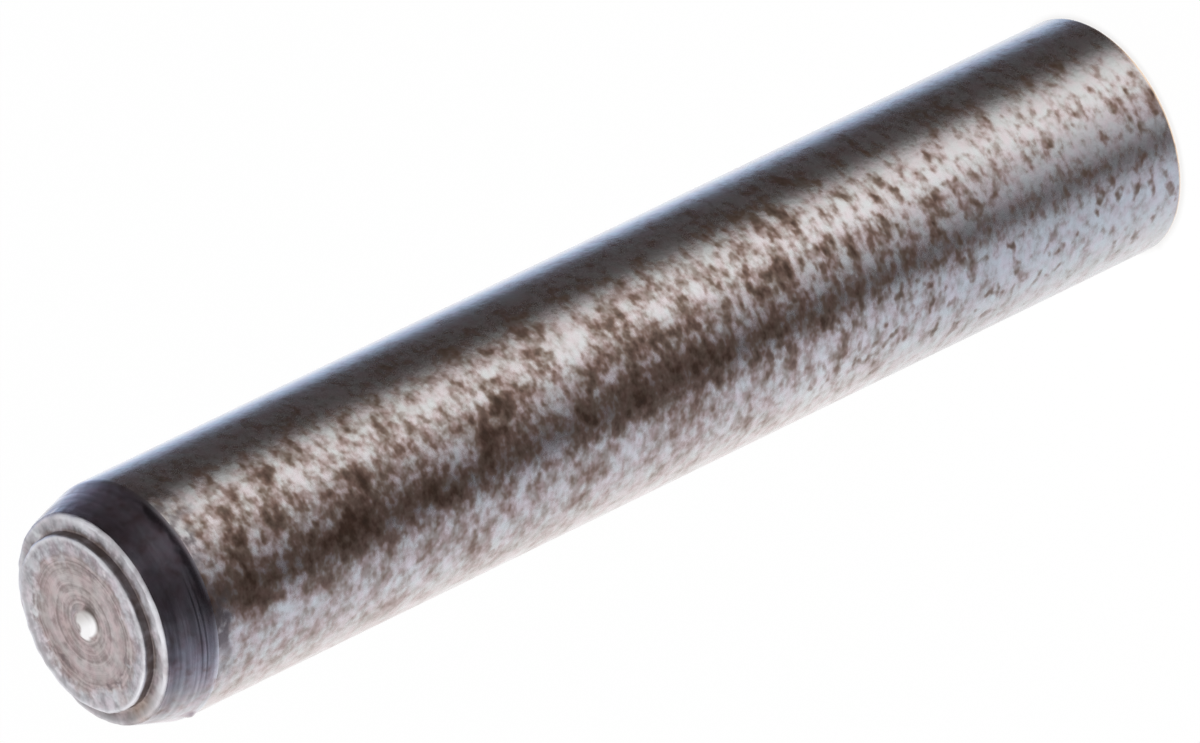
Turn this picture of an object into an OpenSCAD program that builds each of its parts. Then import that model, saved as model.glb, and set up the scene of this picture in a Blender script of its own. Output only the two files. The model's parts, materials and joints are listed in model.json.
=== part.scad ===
// Parallel dowel pin: one solid bar of steel, ground on its diameter.
// Its head end has a lead-in cone, a narrow shoulder, a raised facing that is slightly dished,
// and in its middle the pip that parting off leaves.
// The pin stands on its plain tail face, on the XY plane, with its axis on Z and its head end up.

/* [Shank] */
// Diameter of the ground shank
pin_d = 6; // [4:0.5:16]
// Length from the tail face to the edge of the raised facing
pin_l = 32; // [12:1:100]
// Radius on the edge of the tail face
tail_edge_r = 0.1; // [0.02:0.02:0.4]

/* [Lead-in] */
// Length of the lead-in cone along the axis
lead_l = 1.2; // [0.8:0.1:2.5]
// Angle between the lead-in cone and the axis
lead_angle = 17; // [10:1:20]
// Radius that blends the lead-in cone into the shank
lead_blend_r = 0.8; // [0.2:0.1:4]

/* [Head end] */
// Width of the flat shoulder round the raised facing
shoulder_w = 0.41; // [0.2:0.01:0.7]
// Radius on the outer edge of the shoulder
shoulder_edge_r = 0.12; // [0.02:0.02:0.2]
// Height of the raised facing over the shoulder
facing_h = 0.28; // [0.15:0.01:0.6]
// Radius on the edge of the raised facing
facing_edge_r = 0.08; // [0.02:0.02:0.12]
// Depth by which the facing falls from its edge to the pip
facing_dish = 0.08; // [0:0.02:0.2]
// Radius that the tool's nose leaves in the inner corners
nose_r = 0.04; // [0.01:0.01:0.06]

/* [Parting pip] */
// Diameter of the pip where it meets the facing
pip_d = 1; // [0.6:0.05:1.6]
// Diameter of the pip at its top
pip_top_d = 0.64; // [0.3:0.02:0.8]
// Height of the pip over the facing
pip_h = 0.1; // [0.06:0.02:0.3]

/* [Hidden] */

// Straight steps in each rounded corner
arc_steps = 6;
// Sides of the drawn pin
$fn = 128;

pin_r = pin_d / 2;
shoulder_r = pin_r - lead_l * tan(lead_angle);
shoulder_z = pin_l - facing_h;
lead_z = shoulder_z - lead_l;
facing_r = shoulder_r - shoulder_w;
pip_z = pin_l - facing_dish;
pip_top_z = pip_z + pip_h;
pip_edge_r = pip_h / 2;

// Half section, from the tail face up: each corner is [radius from the axis, height, rounding]
SECTION = [
    [0, 0, 0],
    [pin_r, 0, tail_edge_r],
    [pin_r, lead_z, lead_blend_r],
    [shoulder_r, shoulder_z, shoulder_edge_r],
    [facing_r, shoulder_z, nose_r],
    [facing_r, pin_l, facing_edge_r],
    [pip_d / 2, pip_z, nose_r],
    [pip_top_d / 2, pip_top_z, pip_edge_r],
    [0, pip_top_z, 0],
];

function place(corner) = [corner.x, corner.y];
function unit(v) = v / norm(v);

// Points of the arc that rounds one corner, or the corner itself where its rounding is 0
function rounded_corner(before, corner, after) =
    let (
        p = place(corner),
        to_before = unit(place(before) - p),
        to_after = unit(place(after) - p),
        half = acos(to_before * to_after) / 2,
        centre = p + unit(to_before + to_after) * corner.z / sin(half),
        start = p + to_before * corner.z / tan(half) - centre,
        first = atan2(start.y, start.x),
        turn = sign(cross(to_after, to_before)) * (180 - 2 * half)
    )
    corner.z == 0
        ? [p]
        : [for (i = [0 : arc_steps]) centre + corner.z * [
            cos(first + turn * i / arc_steps),
            sin(first + turn * i / arc_steps)
        ]];

function rounded(corners) =
    let (n = len(corners))
    [for (i = [0 : n - 1])
        each rounded_corner(corners[(i + n - 1) % n], corners[i], corners[(i + 1) % n])];

module dowel_pin() {
    color([0.62, 0.60, 0.58])
        rotate_extrude()
            polygon(rounded(SECTION));
}

dowel_pin();
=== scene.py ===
import json
import math

import bmesh
import bpy
from mathutils import Matrix, Vector


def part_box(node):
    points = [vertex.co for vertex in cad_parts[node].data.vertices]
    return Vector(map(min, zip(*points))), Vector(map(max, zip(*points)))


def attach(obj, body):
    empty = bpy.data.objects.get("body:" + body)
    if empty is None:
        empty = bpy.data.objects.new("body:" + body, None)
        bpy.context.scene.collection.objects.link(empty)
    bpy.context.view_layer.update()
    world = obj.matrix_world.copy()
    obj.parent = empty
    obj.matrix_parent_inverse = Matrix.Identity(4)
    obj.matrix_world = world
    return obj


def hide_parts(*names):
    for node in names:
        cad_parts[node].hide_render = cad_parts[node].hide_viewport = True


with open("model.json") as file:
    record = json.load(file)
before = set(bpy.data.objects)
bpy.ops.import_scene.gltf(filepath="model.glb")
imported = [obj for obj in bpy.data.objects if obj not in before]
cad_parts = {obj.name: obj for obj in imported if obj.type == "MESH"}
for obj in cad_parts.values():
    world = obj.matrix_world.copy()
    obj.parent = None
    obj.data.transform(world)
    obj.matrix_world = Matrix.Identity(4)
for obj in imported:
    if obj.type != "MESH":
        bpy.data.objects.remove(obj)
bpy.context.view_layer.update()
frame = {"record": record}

# The dowel pin: one solid bar of bare steel, ground on its diameter and turned on its head end.
# It is shaped here as it is made: a round bar, then the lead-in cone, the shoulder and the raised facing with
# their tool rings, the pip that parting off leaves, the broken tail edge, one burr, and wear.
mm = 0.001
shank = next(mount for mount in frame["record"]["mounts"] if mount["name"] == "shank")
pin_r = shank["dims"]["r_mm"] * mm
pin_sides = 256
pip_top_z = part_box("dowel_pin")[1][2]
pip_h = 0.10 * mm
pip_r = 0.50 * mm
pip_top_r = 0.32 * mm
pip_z = pip_top_z - pip_h
facing_dish = 0.08 * mm
facing_z = pip_z + facing_dish
facing_h = 0.28 * mm
facing_edge_r = 0.08 * mm
shoulder_z = facing_z - facing_h
shoulder_w = 0.41 * mm
shoulder_edge_r = 0.12 * mm
lead_l = 1.20 * mm
lead_z = shoulder_z - lead_l
lead_angle = math.radians(17)
lead_blend_r = 0.80 * mm
shoulder_r = pin_r - lead_l * math.tan(lead_angle)
facing_r = shoulder_r - shoulder_w
nose_r = 0.04 * mm
groove_at_r = 1.62 * mm
groove_r = 0.06 * mm
groove_depth = 0.006 * mm
tail_edge_r = 0.10 * mm
burr_angle = math.radians(84)
burr_z = lead_z + 0.10 * mm
burr_h = 0.07 * mm
burr_reach = 0.24 * mm
burr_room = 0.40 * mm
dent_size = 0.45 * mm
dent_depth = 0.065 * mm
wear_fade = 0.30 * mm


def arc(centre_r, centre_z, radius, first, last, steps):
    """Points of a round stretch of the half section, as (radius, height) pairs, between two angles."""
    turn = (last - first) / steps
    angles = [math.radians(first + turn * i) for i in range(steps + 1)]
    return [(centre_r + radius * math.cos(a), centre_z + radius * math.sin(a)) for a in angles]


def turned(start, end, rings, depth, steps=4):
    """Points along a straight stretch of the half section, with the uneven rings of the tool's feed."""
    (r0, z0), (r1, z1) = start, end
    length = math.hypot(r1 - r0, z1 - z0)
    points = []
    for i in range(1, rings * steps):
        share = i / (rings * steps)
        ring_depth = depth * (0.3 + 0.7 * abs(math.sin(2.4 * (i // steps))))
        cut = ring_depth * (0.5 - 0.5 * math.cos(2 * math.pi * i / steps)) / length
        points.append((r0 + (r1 - r0) * share - cut * (z1 - z0), z0 + (z1 - z0) * share + cut * (r1 - r0)))
    return points


# The half section of the head end, from the shank to the pip
blend_z = lead_z - lead_blend_r * math.tan(lead_angle / 2)
blend = arc(pin_r - lead_blend_r, blend_z, lead_blend_r, 0, math.degrees(lead_angle), steps=6)
edge_r = shoulder_r - shoulder_edge_r * math.tan((math.pi / 2 - lead_angle) / 2)
edge_z = shoulder_z - shoulder_edge_r
shoulder_edge = arc(edge_r, edge_z, shoulder_edge_r, math.degrees(lead_angle), 90, steps=8)
shoulder_root = arc(facing_r + nose_r, shoulder_z + nose_r, nose_r, 270, 180, steps=4)
facing_edge = arc(facing_r - facing_edge_r, facing_z - facing_edge_r, facing_edge_r, 0, 90, steps=6)
groove_z = facing_z - facing_dish * (facing_r - groove_at_r) / (facing_r - pip_r)
groove = arc(groove_at_r, groove_z + groove_r - groove_depth, groove_r, 296, 244, steps=6)
pip_root = (pip_r, pip_z)
pip_slope = math.atan2(pip_h, pip_r - pip_top_r)
pip_edge_r = pip_h / 2
pip_inset = pip_edge_r * math.tan(pip_slope / 2)
pip_edge = arc(
    pip_top_r - pip_inset, pip_top_z - pip_edge_r, pip_edge_r, 90 - math.degrees(pip_slope), 90, steps=5
)
section = list(blend)
section += turned(blend[-1], shoulder_edge[0], rings=8, depth=0.0015 * mm)
section += shoulder_edge
section += turned(shoulder_edge[-1], shoulder_root[0], rings=2, depth=0.004 * mm)
section += shoulder_root + facing_edge
section += turned(facing_edge[-1], groove[0], rings=4, depth=0.0015 * mm)
section += groove
section += turned(groove[-1], pip_root, rings=11, depth=0.0012 * mm)
section += [pip_root] + pip_edge

# The bar ends just short of the blend, so that the burr, which is moved later, bends none of the long shank
bar_l = blend_z - burr_room
bpy.ops.object.select_all(action="DESELECT")
bpy.ops.mesh.primitive_cylinder_add(
    vertices=pin_sides, radius=pin_r, depth=bar_l, location=(0, 0, bar_l / 2)
)
pin = bpy.context.object
pin.name = "turned_pin"
bpy.ops.object.transform_apply(location=True, rotation=True, scale=True)
bpy.ops.object.mode_set(mode="EDIT")
bpy.ops.mesh.select_mode(type="FACE")
bar = bmesh.from_edit_mesh(pin.data)
for face in bar.faces:
    face.select_set(face.normal.z > 0.5)
bmesh.update_edit_mesh(pin.data)

# Turning the head end: each step moves the end face on and brings it to its radius
at_r, at_z = pin_r, bar_l
for radius, height in section:
    bpy.ops.mesh.extrude_region_move(TRANSFORM_OT_translate={"value": (0, 0, height - at_z)})
    bpy.ops.transform.resize(value=(radius / at_r, radius / at_r, 1))
    at_r, at_z = radius, height
bpy.ops.mesh.merge(type="COLLAPSE")

# Breaking the edge of the tail face
bpy.ops.mesh.select_mode(type="EDGE")
bpy.ops.mesh.select_all(action="DESELECT")
bar = bmesh.from_edit_mesh(pin.data)
for edge in bar.edges:
    edge.select_set(all(vert.co.z < 0.01 * mm for vert in edge.verts))
bmesh.update_edit_mesh(pin.data)
bpy.ops.mesh.bevel(offset=tail_edge_r, segments=4, affect="EDGES")
bpy.ops.mesh.select_all(action="SELECT")
bpy.ops.mesh.normals_make_consistent(inside=False)

# Burr: a small lip that the turning tool pushed up where the cone meets the shank
burr_out = Vector((-math.sin(burr_angle), -math.cos(burr_angle), 0))
burr_spot = burr_out * pin_r + Vector((0, 0, burr_z))
bpy.ops.mesh.select_mode(type="VERT")
bpy.ops.mesh.select_all(action="DESELECT")
bar = bmesh.from_edit_mesh(pin.data)
min(bar.verts, key=lambda vert: (vert.co - burr_spot).length).select_set(True)
bmesh.update_edit_mesh(pin.data)
bpy.ops.transform.translate(value=burr_out * burr_h, use_proportional_edit=True, proportional_size=burr_reach)
bpy.ops.object.mode_set(mode="OBJECT")

# Wear: handling has knocked the land, the wall and both edges of the head end slightly out of round
worn = pin.vertex_groups.new(name="worn")
for vert in pin.data.vertices:
    up_the_cone = (vert.co.z - lead_z) / lead_l
    past_groove = (vert.co.xy.length - groove_at_r) / wear_fade + 0.5
    worn.add([vert.index], min(max(min(up_the_cone ** 3, past_groove), 0), 1), "REPLACE")
dents = bpy.data.textures.new("dents", "CLOUDS")
dents.noise_scale = dent_size
dents.noise_depth = 1
wear = pin.modifiers.new("wear", "DISPLACE")
wear.texture = dents
wear.strength = dent_depth
wear.vertex_group = worn.name
bpy.ops.object.modifier_apply(modifier="wear")
bpy.ops.object.shade_smooth_by_angle(angle=math.radians(35))
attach(pin, "root")
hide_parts("dowel_pin")


# Brown film: oil and the first rust, which have dried on the steel in grains and in streaks round the pin.
# It is a group that the finishes below share. It darkens the steel as stained glass would, blue first.
def add(tree, kind, inputs=None, **settings):
    """Adds a shader node, sets its own settings, and sets or links its inputs."""
    node = tree.nodes.new("ShaderNode" + kind)
    for name, value in settings.items():
        setattr(node, name, value)
    for name, value in (inputs or {}).items():
        if isinstance(value, bpy.types.NodeSocket):
            tree.links.new(value, node.inputs[name])
        else:
            node.inputs[name].default_value = value
    return node


def work_out(tree, operation, *values):
    """The result of a sum on values that change over the surface."""
    return add(tree, "Math", dict(enumerate(values)), operation=operation).outputs[0]


def times(tree, product, *factors):
    """The product of values that change over the surface."""
    for factor in factors:
        product = work_out(tree, "MULTIPLY", product, factor)
    return product


def rise(tree, value, low, high, start=0.0, end=1.0):
    """Goes smoothly from start to end while a value goes from low to high."""
    inputs = {"Value": value, "From Min": low, "From Max": high, "To Min": start, "To Max": end}
    return add(tree, "MapRange", inputs, interpolation_type="SMOOTHSTEP").outputs[0]


def between(tree, share, first, second, blend_type="MIX"):
    """A colour between two colours, or their product."""
    colours = [c if isinstance(c, bpy.types.NodeSocket) else (*c, 1) for c in (first, second)]
    inputs = {0: share, 6: colours[0], 7: colours[1]}
    return add(tree, "Mix", inputs, data_type="RGBA", blend_type=blend_type).outputs[2]


def shades(tree, value, stops):
    """A colour, or a grey level, that follows a value through a row of stops."""
    node = add(tree, "ValToRGB", {0: value})
    while len(node.color_ramp.elements) < len(stops):
        node.color_ramp.elements.new(0.5)
    for element, (place, colour) in zip(node.color_ramp.elements, stops):
        element.position = place
        element.color = (*colour, 1) if isinstance(colour, tuple) else (colour, colour, colour, 1)
    return node.outputs[0]


def grain(tree, place, scale, detail, roughness=0.5):
    """Noise of so many grains to the millimetre in X, Y and Z, spread about 0 with most of it within 1."""
    stretched = add(tree, "Mapping", {0: place, "Scale": scale}).outputs[0]
    inputs = {"Vector": stretched, "Scale": 1.0, "Detail": detail, "Roughness": roughness}
    noise = add(tree, "TexNoise", inputs, normalize=False).outputs[0]
    return work_out(tree, "MULTIPLY", noise, 3.0)


brown_film = bpy.data.node_groups.new("brown_film", "ShaderNodeTree")
brown_film.interface.new_socket("Place", in_out="INPUT", socket_type="NodeSocketVector")
for socket in ("Thickness", "Unevenness", "Streaks", "Dust", "Specks"):
    brown_film.interface.new_socket(socket, in_out="INPUT", socket_type="NodeSocketFloat")
brown_film.interface.new_socket("Tint", in_out="OUTPUT", socket_type="NodeSocketColor")
brown_film.interface.new_socket("Depth", in_out="OUTPUT", socket_type="NodeSocketFloat")
given = brown_film.nodes.new("NodeGroupInput").outputs
grains = grain(brown_film, given["Place"], (1.15, 1.15, 1.4), 2.4, 0.57)
streaks = grain(brown_film, given["Place"], (1.05, 1.05, 2.4), 2.4, 0.60)
clouds = grain(brown_film, given["Place"], (0.5, 0.5, 0.6), 1.0)
dust = grain(brown_film, given["Place"], (3.4, 3.4, 4.1), 1.8, 0.62)
specks = grain(brown_film, given["Place"], (2.5, 2.5, 3.1), 1.5)
hue = grain(brown_film, given["Place"], (2.8, 2.8, 3.4), 2.0)
mixed = add(brown_film, "Mix", {0: given["Streaks"], 2: grains, 3: streaks}).outputs[0]
depth = times(brown_film, given["Thickness"], rise(brown_film, clouds, -2.5, 2.5, 0.7, 1.3))
depth = work_out(brown_film, "MULTIPLY_ADD", mixed, given["Unevenness"], depth)
depth = work_out(brown_film, "MULTIPLY_ADD", dust, given["Dust"], depth)
depth = work_out(brown_film, "SUBTRACT", depth, 0.10)
depth = work_out(brown_film, "SMOOTH_MAX", depth, 0.0, 1.0)
depth = work_out(brown_film, "MULTIPLY_ADD", rise(brown_film, specks, 0.5, 2.8), given["Specks"], depth)
deepest = 3.0
tint = shades(brown_film, work_out(brown_film, "DIVIDE", depth, deepest), [
    (0.00, (1.000, 1.000, 1.000)),
    (0.17, (0.685, 0.592, 0.550)),
    (0.33, (0.460, 0.328, 0.258)),
    (0.67, (0.215, 0.115, 0.066)),
    (1.00, (0.100, 0.045, 0.022)),
])
cast = between(brown_film, rise(brown_film, hue, -2.2, 2.2), (1.0, 0.935, 0.96), (0.945, 1.0, 1.0))
tint = between(brown_film, 1.0, tint, cast, "MULTIPLY")
handed_on = brown_film.nodes.new("NodeGroupOutput").inputs
brown_film.links.new(tint, handed_on["Tint"])
brown_film.links.new(depth, handed_on["Depth"])


# Shank finish: bare ground steel, with a painted bluish reflection on one side of the tail. The film on it is
# thin at the tail, thicker towards the head, and thickest in a belt along one side of the pin. Turning the
# cone has left the shank's end dull, and the broken tail edge has a painted cream reflection.
def bare_metal(name):
    """A new metal finish: its material, its tree, its shader and the place on the pin in millimetres."""
    finish = bpy.data.materials.new(name)
    finish.use_nodes = True
    tree = finish.node_tree
    shader = tree.nodes["Principled BSDF"]
    shader.inputs["Metallic"].default_value = 1.0
    where = add(tree, "TexCoord").outputs["Object"]
    place = add(tree, "VectorMath", {0: where, "Scale": 1 / mm}, operation="SCALE").outputs[0]
    return finish, tree, shader, place


def filmed(tree, place, colour, **levels):
    """A colour under the brown film, and the film's depth."""
    film = add(tree, "Group", node_tree=brown_film)
    for name, value in {"Place": place, **levels}.items():
        if isinstance(value, bpy.types.NodeSocket):
            tree.links.new(value, film.inputs[name])
        else:
            film.inputs[name].default_value = value
    return between(tree, 1.0, colour, film.outputs["Tint"], "MULTIPLY"), film.outputs["Depth"]


def round_the_pin(tree, x, y):
    """The bearing round the pin's axis from 0 to 1, with 0.5 at the side that the camera faces."""
    across = work_out(tree, "MULTIPLY", x, -1.0)
    towards = work_out(tree, "MULTIPLY", y, -1.0)
    bearing = work_out(tree, "ARCTAN2", across, towards)
    return work_out(tree, "MULTIPLY_ADD", bearing, 0.5 / math.pi, 0.5)


def shades_round(tree, around, stops):
    """A colour, or a grey level, that follows the bearing, in degrees from the camera's side."""
    return shades(tree, around, [((angle + 180) / 360, colour) for angle, colour in stops])


ground_steel, tree, shader, place = bare_metal("ground_steel")
x, y, z = add(tree, "SeparateXYZ", {0: place}).outputs
around = round_the_pin(tree, x, y)
pin_l = facing_z / mm
shank_end = blend_z / mm
film_round = shades_round(tree, around, [
    (-180, 0.35), (-100, 0.30), (-78, 0.00), (-62, 0.00), (-44, 0.26), (-35, 0.48), (-26, 0.42),
    (-14, 0.58), (-5, 1.26), (6, 1.26), (14, 1.62), (19, 1.58), (25, 1.16), (32, 0.60), (46, 0.44),
    (58, 0.34), (76, 0.26), (100, 0.12), (180, 0.35),
])
along = work_out(tree, "DIVIDE", z, pin_l)
film_along = shades(tree, along, [(height / pin_l, level) for height, level in [
    (0.0, 0.25), (0.4, 0.10), (6.0, 0.12), (7.4, 0.50), (9.0, 0.40), (11.5, 0.62), (14.2, 0.88),
    (17.5, 0.80), (20.5, 0.95), (22.5, 0.80), (25.0, 1.00), (27.0, 0.90), (29.0, 0.90), (30.2, 0.40),
]])
film = times(tree, film_round, film_along)
film = work_out(tree, "ADD", film, rise(tree, around, 0.56, 0.60, 0.0, 0.12))
uneven_round = shades_round(tree, around, [
    (-180, 0.30), (-78, 0.06), (-60, 0.26), (-40, 0.48), (-14, 0.42), (-5, 0.38), (18, 0.40), (33, 0.26),
    (56, 0.22), (76, 0.12), (100, 0.12), (180, 0.30),
])
uneven_near_tail = rise(tree, z, 5.0, 9.0, 0.8, 1.1)
uneven_near_head = rise(tree, z, 14.0, 20.0, 1.0, 0.82)
dust_round = shades_round(tree, around, [
    (-78, 0.04), (-60, 0.28), (-45, 0.34), (-28, 0.22), (-4, 0.28), (20, 0.34), (34, 0.17), (60, 0.14),
    (90, 0.05),
])
specks_round = shades_round(tree, around, [
    (-78, 0.0), (-60, 0.6), (-30, 0.7), (10, 1.0), (30, 1.3), (58, 0.9), (72, 0.25), (90, 0.0),
])
specks_along = rise(tree, z, 17.0, 8.0, 0.25, 0.9)
steel = between(tree, rise(tree, z, 5.0, 12.0), (0.70, 0.685, 0.68), (0.75, 0.735, 0.73))
# Painted reflection: the steel is tinted bluish on one side near the tail
bluish_reflection = times(tree, rise(tree, z, 12.0, 6.0), rise(tree, around, 0.55, 0.60))
steel = between(tree, bluish_reflection, steel, (0.61, 0.625, 0.645))
colour, depth = filmed(
    tree,
    place,
    steel,
    Thickness=film,
    Unevenness=times(tree, uneven_round, uneven_near_tail, uneven_near_head),
    Streaks=rise(tree, z, 10.0, 20.0, 0.85, 0.20),
    Dust=dust_round,
    Specks=times(tree, specks_round, specks_along),
)
# Painted reflection: the broken tail edge is tinted cream, as if it mirrored the cream ground
tail_edge_reflection = rise(tree, z, 0.13, 0.05)
colour = between(tree, tail_edge_reflection, colour, (0.95, 0.76, 0.60))
ragged_z = work_out(tree, "MULTIPLY_ADD", grain(tree, place, (2.5, 2.5, 2.5), 2.0), 0.16, z)
dull_end = rise(tree, ragged_z, shank_end - 0.80, shank_end - 0.05)
dull_round = shades_round(tree, around, [
    (-58, 0.0), (-46, 0.4), (-35, 0.7), (-26, 0.8), (-15, 1.0), (-6, 0.9), (4, 0.1), (14, 0.6), (25, 0.9),
    (35, 1.0), (45, 0.45), (56, 0.6), (68, 0.05),
])
dull_grain = rise(tree, grain(tree, place, (3.0, 3.0, 3.6), 2.4), -1.6, 0.8, 0.3, 1.1)
colour = between(tree, times(tree, dull_round, dull_end, dull_grain), colour, (0.20, 0.172, 0.176))
tree.links.new(colour, shader.inputs["Base Color"])
tree.links.new(rise(tree, depth, 0.2, 1.5, 0.26, 0.42), shader.inputs["Roughness"])
tree.links.new(rise(tree, depth, 0.0, 2.3, 1.0, 0.3), shader.inputs["Metallic"])
pit_depth = 0.0003 * mm
pits = times(tree, grain(tree, place, (8.0, 8.0, 9.0), 1.0), pit_depth)
bump = add(tree, "Bump", {"Height": pits, "Distance": 1.0})
tree.links.new(bump.outputs[0], shader.inputs["Normal"])

# Lead-in cone finish: steel turned after the shank was ground, smooth and nearly free of film. It has fine
# feed lines, and near its start two deeper scratches and, on one side, a dark stain. It darkens towards the
# shoulder.
turned_cone, tree, shader, place = bare_metal("turned_cone")
x, y, z = add(tree, "SeparateXYZ", {0: place}).outputs
around = round_the_pin(tree, x, y)
cone_z = blend[-1][1] / mm
cone_end = shoulder_z / mm
dark_steel = (0.15, 0.14, 0.16)
lines_round = shades_round(tree, around, [
    (-90, 0.5), (-50, 0.3), (8, 0.3), (24, 1.0), (45, 0.8), (68, 0.45), (90, 0.3),
])
feed_lines = times(tree, lines_round, grain(tree, place, (0.5, 0.5, 9.0), 2.0))
bare = between(tree, rise(tree, feed_lines, -1.8, 1.8), (0.44, 0.43, 0.46), (0.76, 0.75, 0.79))
stain_round = shades_round(tree, around, [
    (-80, 0.0), (-60, 0.2), (-45, 0.3), (-37, 0.85), (-10, 0.85), (12, 0.6), (40, 0.0),
])
wavy_z = work_out(tree, "MULTIPLY_ADD", grain(tree, place, (2.5, 2.5, 2.5), 2.0), 0.04, z)
stain = times(tree, stain_round, rise(tree, wavy_z, cone_z + 0.12, cone_z - 0.06))
bare = between(tree, stain, bare, (0.10, 0.085, 0.095))
bare = between(tree, rise(tree, z, cone_end - 0.82, cone_end - 0.22, 0.0, 0.35), bare, dark_steel)
scratch_round = shades_round(tree, around, [(0, 0.0), (12, 0.7), (45, 0.6), (65, 0.0)])
for height in (cone_z + 0.07, cone_z + 0.19):
    off_line = work_out(tree, "ABSOLUTE", work_out(tree, "SUBTRACT", z, height))
    scratch = times(tree, scratch_round, rise(tree, off_line, 0.035, 0.01))
    bare = between(tree, scratch, bare, dark_steel)
colour, _ = filmed(tree, place, bare, Thickness=0.0, Unevenness=0.14, Streaks=0.3, Dust=0.20)
tree.links.new(colour, shader.inputs["Base Color"])
shader.inputs["Roughness"].default_value = 0.24


# Head end finish: faced with a pointed tool and left brown by the cutting oil, with a paler land round its
# edge that is paler still on the far side. Dirt has stayed in the groove, the corner between the shoulder and
# the facing has painted shade, the edges are worn and have a painted highlight, and the pip has a painted
# highlight.
def from_spot(tree, place, spot):
    """The distance in millimetres from a spot on the pin."""
    return add(tree, "VectorMath", {0: place, 1: spot}, operation="DISTANCE").outputs["Value"]


faced_end, tree, shader, place = bare_metal("faced_end")
x, y, z = add(tree, "SeparateXYZ", {0: place}).outputs
out = work_out(tree, "SQRT", work_out(tree, "MULTIPLY_ADD", x, x, work_out(tree, "MULTIPLY", y, y)))
around = round_the_pin(tree, x, y)
wander = grain(tree, place, (1.3, 1.3, 1.3), 4.0)
patches = grain(tree, place, (3.2, 3.2, 3.2), 3.0)
fine = grain(tree, place, (8.0, 8.0, 8.0), 2.0)
flecks = grain(tree, place, (2.4, 2.4, 2.4), 2.0)
mottle = work_out(tree, "MULTIPLY_ADD", patches, 0.7, work_out(tree, "MULTIPLY", fine, 0.35))
wavy_out = work_out(tree, "MULTIPLY_ADD", wander, 0.07, out)
wavy_out = work_out(tree, "MULTIPLY_ADD", patches, 0.05, wavy_out)

# The facing: brown in the middle with its tool rings, then the dirty groove, then the land
feed = add(tree, "CombineXYZ", {0: work_out(tree, "MULTIPLY_ADD", wander, 0.012, out)}).outputs[0]
rings = work_out(tree, "MULTIPLY_ADD", grain(tree, feed, (11.0, 1.0, 1.0), 2.0), 0.8, mottle)
brown = between(tree, rise(tree, rings, -2.4, 2.4), (0.28, 0.231, 0.228), (0.55, 0.478, 0.478))
bright_ring = times(tree, rise(tree, wavy_out, 0.95, 1.15), rise(tree, wavy_out, 1.40, 1.25), 0.35)
brown = between(tree, bright_ring, brown, (0.60, 0.54, 0.55))
land = between(tree, rise(tree, mottle, -1.8, 1.8), (0.29, 0.27, 0.295), (0.60, 0.585, 0.63))
brown_end = shades_round(tree, around, [
    (-180, 1.58), (-165, 1.56), (-135, 1.44), (-105, 1.62), (-75, 1.55), (-45, 1.67), (45, 1.67),
    (75, 1.67), (105, 1.58), (135, 1.70), (165, 1.66),
])
past_brown = work_out(tree, "SUBTRACT", wavy_out, brown_end)
colour = between(tree, rise(tree, past_brown, 0.0, 0.28), brown, land)
# The land is paler in patches towards the far side
far_side_pale_round = shades_round(tree, around, [
    (-180, 0.85), (-150, 0.6), (-105, 0.0), (0, 0.1), (15, 0.3), (45, 0.0), (105, 0.35), (135, 0.25),
    (165, 0.8),
])
far_side_pale_patches = rise(tree, mottle, -1.6, 1.2, 0.35, 1.1)
far_side_pale = times(tree, far_side_pale_round, rise(tree, past_brown, 0.02, 0.22), far_side_pale_patches)
colour = between(tree, far_side_pale, colour, (0.78, 0.78, 0.82))
dirt_round = shades_round(tree, around, [
    (-180, 0.7), (-135, 0.2), (-105, 1.0), (-75, 0.6), (-45, 1.0), (15, 0.9), (75, 1.2), (135, 1.7),
    (165, 1.2),
])
in_groove = times(tree, rise(tree, wavy_out, 1.38, 1.52), rise(tree, wavy_out, 1.72, 1.60))
dirt = times(tree, in_groove, rise(tree, flecks, -0.3, 1.6, 0.0, 0.8), dirt_round)
colour = between(tree, dirt, colour, (0.19, 0.15, 0.155))
bright_flecks = times(tree, rise(tree, flecks, 1.0, 2.6), rise(tree, out, 1.45, 1.75))
colour = between(tree, bright_flecks, colour, (0.80, 0.80, 0.83))

# The shoulder, with oil and a spot of rust on one side and painted light and shade round it, and the rims,
# with wear and a painted highlight, and a painted shade line on the far side
wall_r = facing_r / mm
rim_z = facing_z / mm
cone_r = shoulder_r / mm
oil_round = shades_round(tree, around, [(20, 0.0), (60, 0.5), (105, 0.6), (150, 0.0)])
oil = times(tree, oil_round, rise(tree, out, wall_r - 0.05, wall_r + 0.05))
colour, _ = filmed(tree, place, colour, Thickness=oil, Unevenness=0.12)
rust = from_spot(tree, place, (-2.32, -0.25, cone_end))
colour = between(tree, rise(tree, rust, 0.75, 0.05, 0.0, 0.35), colour, (0.46, 0.30, 0.18))
# Painted shade: a darker line just inside the facing's edge on the far side
far_shade_round = shades_round(tree, around, [(-150, 0.6), (-100, 0.0), (100, 0.0), (150, 0.6)])
far_shade_from = rise(tree, out, wall_r - 0.28, wall_r - 0.20)
far_shade_to = rise(tree, out, wall_r - 0.06, wall_r - 0.14)
colour = between(tree, times(tree, far_shade_round, far_shade_from, far_shade_to), colour, (0.36, 0.35, 0.37))
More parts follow.
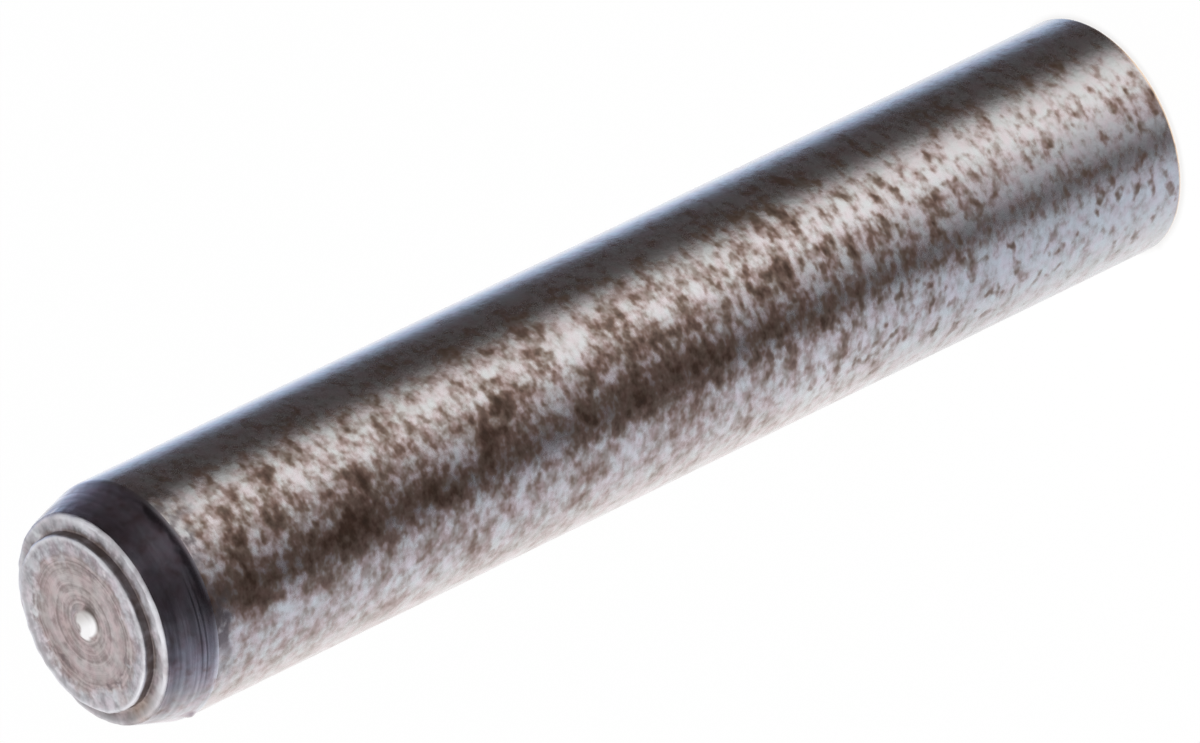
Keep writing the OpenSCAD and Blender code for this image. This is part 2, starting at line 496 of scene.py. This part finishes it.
# Edge wear and painted highlight: the facing's edge and the shoulder's outer edge are lightened, more on some
# bearings
facing_rim_wear_and_sheen = rise(tree, out, wall_r - 0.17, wall_r - 0.04)
facing_rim_wear_and_sheen = times(tree, facing_rim_wear_and_sheen, rise(tree, z, rim_z - 0.07, rim_z - 0.02))
shoulder_rim_wear_and_sheen = shades_round(tree, around, [
    (-180, 0.9), (-135, 0.75), (-105, 0.55), (-75, 0.6), (-45, 1.0), (45, 1.0), (75, 0.6), (135, 0.5),
    (165, 0.9),
])
shoulder_rim_wear_and_sheen = times(tree, shoulder_rim_wear_and_sheen, rise(tree, out, cone_r - 0.32, cone_r - 0.08))
rim_wear_and_sheen = work_out(tree, "MAXIMUM", facing_rim_wear_and_sheen, shoulder_rim_wear_and_sheen)
rim_wear_and_sheen = times(tree, rim_wear_and_sheen, rise(tree, wander, -1.5, 1.0, 0.35, 0.9))
colour = between(tree, rim_wear_and_sheen, colour, (0.76, 0.76, 0.80))
# Painted light and shade: the flat shoulder is lightened or darkened by bearing
shoulder_painted_light = shades_round(tree, around, [
    (-180, 1.18), (-135, 0.85), (-105, 0.78), (-75, 0.77), (-45, 1.27), (45, 1.34), (75, 0.75),
    (105, 0.69), (135, 0.63), (165, 1.05),
])
flat_from = rise(tree, out, wall_r + 0.03, wall_r + 0.12)
flat_to = rise(tree, out, cone_r - 0.04, cone_r - 0.16)
colour = between(tree, times(tree, flat_from, flat_to), colour, shoulder_painted_light, "MULTIPLY")

# Painted shade in the corner between the shoulder and the facing's wall, stronger on the camera's side
wavy_corner = work_out(tree, "MULTIPLY_ADD", patches, 0.02, out)
corner_shade_round = shades_round(tree, around, [
    (-180, 0.6), (-90, 0.9), (40, 1.0), (75, 0.6), (110, 0.4), (180, 0.6),
])
corner_shade = rise(tree, wavy_corner, wall_r + 0.14, wall_r - 0.01)
corner_shade = times(tree, corner_shade, rise(tree, out, wall_r - 0.05, wall_r - 0.01))
corner_shade = times(tree, corner_shade, rise(tree, z, rim_z - 0.03, rim_z - 0.11))
corner_shade = times(tree, corner_shade, rise(tree, wander, -1.5, 0.5, 0.75, 1.0), corner_shade_round)
colour = between(tree, corner_shade, colour, (0.125, 0.088, 0.076))

# The pip: a painted highlight in the shape of a comma, with painted shade beside and behind it
pip_mm = pip_top_z / mm
pip_shade = (0.11, 0.085, 0.078)
shade_beside_pip = from_spot(tree, place, (0.24, -0.46, pip_mm))
shade_beside_pip = work_out(tree, "MULTIPLY_ADD", patches, 0.04, shade_beside_pip)
colour = between(tree, rise(tree, shade_beside_pip, 0.30, 0.05), colour, pip_shade)
off_pip = from_spot(tree, place, (-0.03, -0.15, pip_mm))
shade_behind_pip = times(tree, rise(tree, off_pip, 0.46, 0.37), rise(tree, y, -0.30, -0.46, 0.0, 0.7))
colour = between(tree, shade_behind_pip, colour, pip_shade)
pip_tail = rise(tree, from_spot(tree, place, (-0.24, 0.06, pip_mm)), 0.22, 0.10)
pip_notch = rise(tree, from_spot(tree, place, (-0.01, 0.19, pip_mm)), 0.07, 0.17)
pip_highlight_shape = work_out(tree, "MAXIMUM", rise(tree, off_pip, 0.38, 0.27), pip_tail)
# Painted highlight: the pip's top is white, lighter on one side
pip_highlight = between(tree, rise(tree, x, 0.25, -0.15), (0.60, 0.57, 0.56), (0.93, 0.92, 0.93))
colour = between(tree, times(tree, pip_highlight_shape, pip_notch), colour, pip_highlight)
tree.links.new(colour, shader.inputs["Base Color"])
tree.links.new(rise(tree, rim_wear_and_sheen, 0.0, 1.0, 0.5, 1.0), shader.inputs["Metallic"])
shader.inputs["Roughness"].default_value = 0.38

# Each finish covers the faces above its lower end
for finish in (ground_steel, turned_cone, faced_end):
    pin.data.materials.append(finish)
bpy.ops.object.mode_set(mode="EDIT")
bpy.ops.mesh.select_mode(type="FACE")
for slot, lowest in ((1, blend_z), (2, shoulder_edge[1][1])):
    bar = bmesh.from_edit_mesh(pin.data)
    for face in bar.faces:
        face.select_set(face.calc_center_median().z > lowest)
    bmesh.update_edit_mesh(pin.data)
    pin.active_material_index = slot
    bpy.ops.object.material_slot_assign()
bpy.ops.object.mode_set(mode="OBJECT")

# The studio: a white floor with one lamp straight over it, in a white tent. Below the horizon, where the side
# of the pin mirrors, the tent has a row of pale and dark panels that draw the bands along the shank. A row at
# the horizon, dark on the camera's side, is what the lead-in cone mirrors, and a cream zone straight below is
# what the tail edge mirrors.
floor_drop = 0.02 * mm
bpy.ops.object.select_all(action="DESELECT")
bpy.ops.mesh.primitive_plane_add(size=20.0, location=(0, 0, -floor_drop))
floor = bpy.context.object
floor.name = "floor"
bpy.ops.object.transform_apply(location=True, rotation=True, scale=True)
floor_white = bpy.data.materials.new("floor_white")
floor_white.use_nodes = True
tree = floor_white.node_tree
shader = tree.nodes["Principled BSDF"]
shader.inputs["Base Color"].default_value = (0.15, 0.15, 0.15, 1)
shader.inputs["Roughness"].default_value = 1.0
shader.inputs["Specular IOR Level"].default_value = 0.0
shader.inputs["Emission Color"].default_value = (1, 1, 1, 1)
ray = add(tree, "LightPath").outputs
seen = work_out(tree, "MAXIMUM", ray["Is Camera Ray"], ray["Is Glossy Ray"])
seen = work_out(tree, "MAXIMUM", seen, ray["Is Transmission Ray"])
tree.links.new(work_out(tree, "MULTIPLY", seen, 0.85), shader.inputs["Emission Strength"])
floor.data.materials.append(floor_white)
floor.visible_glossy = False

lamp_height = 2.0
lamp_radius = 0.006
lamp_share = 0.8
lamp = bpy.data.objects.new("overhead_lamp", bpy.data.lights.new("overhead_lamp", "AREA"))
bpy.context.scene.collection.objects.link(lamp)
lamp.location = (0, 0, lamp_height)
lamp.data.shape = "DISK"
lamp.data.size = 2 * lamp_radius
lamp_spread = math.sin(math.atan(lamp_radius / lamp_height)) ** 2
lamp.data.energy = lamp_share / lamp_spread * math.pi * math.pi * lamp_radius ** 2
lamp.visible_glossy = False

tent = bpy.data.worlds.new("tent")
bpy.context.scene.world = tent
tent.use_nodes = True
tent.cycles.sampling_method = "NONE"
tree = tent.node_tree
sky = tree.nodes["Background"]
x, y, z = add(tree, "SeparateXYZ", {0: add(tree, "TexCoord").outputs["Generated"]}).outputs
around = round_the_pin(tree, x, y)
lower_panels = shades_round(tree, around, [
    (-180, (1.36, 1.36, 1.36)),
    (-165, (1.34, 1.36, 1.37)),
    (-150, (0.64, 0.81, 1.12)),
    (-129, (0.080, 0.073, 0.078)),
    (-108, (0.076, 0.066, 0.067)),
    (-79, (0.062, 0.054, 0.052)),
    (-56, (1.02, 1.00, 1.00)),
    (-30, (1.11, 1.105, 1.12)),
    (-10, (0.72, 0.705, 0.74)),
    (10, (0.47, 0.47, 0.52)),
    (30, (0.110, 0.105, 0.115)),
    (40, (0.110, 0.105, 0.115)),
    (64, (0.74, 0.775, 0.88)),
    (90, (0.82, 0.855, 0.945)),
    (110, (0.92, 0.945, 1.01)),
    (130, (0.97, 0.965, 0.98)),
    (150, (1.13, 1.115, 1.125)),
    (180, (1.26, 1.25, 1.26)),
])
upper_panels = shades_round(tree, around, [
    (-180, (1.00, 1.00, 1.02)),
    (-150, (0.62, 0.68, 0.86)),
    (-134, (0.30, 0.32, 0.44)),
    (-117, (0.098, 0.087, 0.11)),
    (-95, (0.062, 0.052, 0.06)),
    (-63, (0.044, 0.034, 0.040)),
    (-46, (0.072, 0.060, 0.070)),
    (-27, (0.105, 0.088, 0.104)),
    (-9, (0.052, 0.044, 0.054)),
    (9, (0.036, 0.029, 0.036)),
    (27, (0.040, 0.034, 0.042)),
    (46, (0.125, 0.119, 0.140)),
    (63, (0.21, 0.210, 0.258)),
    (81, (0.36, 0.362, 0.440)),
    (99, (0.485, 0.482, 0.545)),
    (117, (0.725, 0.700, 0.712)),
    (134, (0.96, 0.935, 0.925)),
    (180, (1.04, 1.03, 1.04)),
])
roof = shades_round(tree, around, [
    (-180, 0.95), (-120, 0.75), (0, 0.75), (40, 0.95), (80, 1.25), (140, 1.25), (180, 0.95),
])
ground = (1.0, 0.93, 0.85)
mirrored = between(tree, rise(tree, z, -0.46, -0.36), lower_panels, upper_panels)
mirrored = between(tree, rise(tree, z, -0.80, -0.95), mirrored, ground)
mirrored = between(tree, rise(tree, z, 0.28, 0.45), mirrored, roof)
ray = add(tree, "LightPath").outputs
tree.links.new(between(tree, ray["Is Camera Ray"], mirrored, (1, 1, 1)), sky.inputs["Color"])
seen = work_out(tree, "MAXIMUM", ray["Is Camera Ray"], ray["Is Glossy Ray"])
seen = work_out(tree, "MAXIMUM", seen, ray["Is Transmission Ray"])
tree.links.new(rise(tree, seen, 0.0, 1.0, 1.0 - lamp_share, 1.0), sky.inputs["Strength"])

# The camera: a long lens that looks down on the head end, turned so that the pin runs across the picture.
# Its direction, its distance and its lens come from a fit of the pin's outline.
view_tilt = math.radians(55.886)
view_roll = math.radians(-115.768)
view_distance = 628.80 * mm
view_shift = Vector((0.079, 0.115, 0)) * mm
camera = bpy.data.objects.new("camera", bpy.data.cameras.new("camera"))
bpy.context.scene.collection.objects.link(camera)
camera.data.lens = 801.95
camera.data.sensor_width = 36
aim = Matrix.Rotation(view_tilt, 4, "X") @ Matrix.Rotation(view_roll, 4, "Z")
pin_middle = Vector((0, 0, facing_z / 2))
camera.matrix_world = Matrix.Translation(pin_middle) @ aim @ Matrix.Translation(
    view_shift + Vector((0, 0, view_distance))
)
bpy.context.scene.camera = camera
bpy.context.scene.view_settings.view_transform = "Standard"
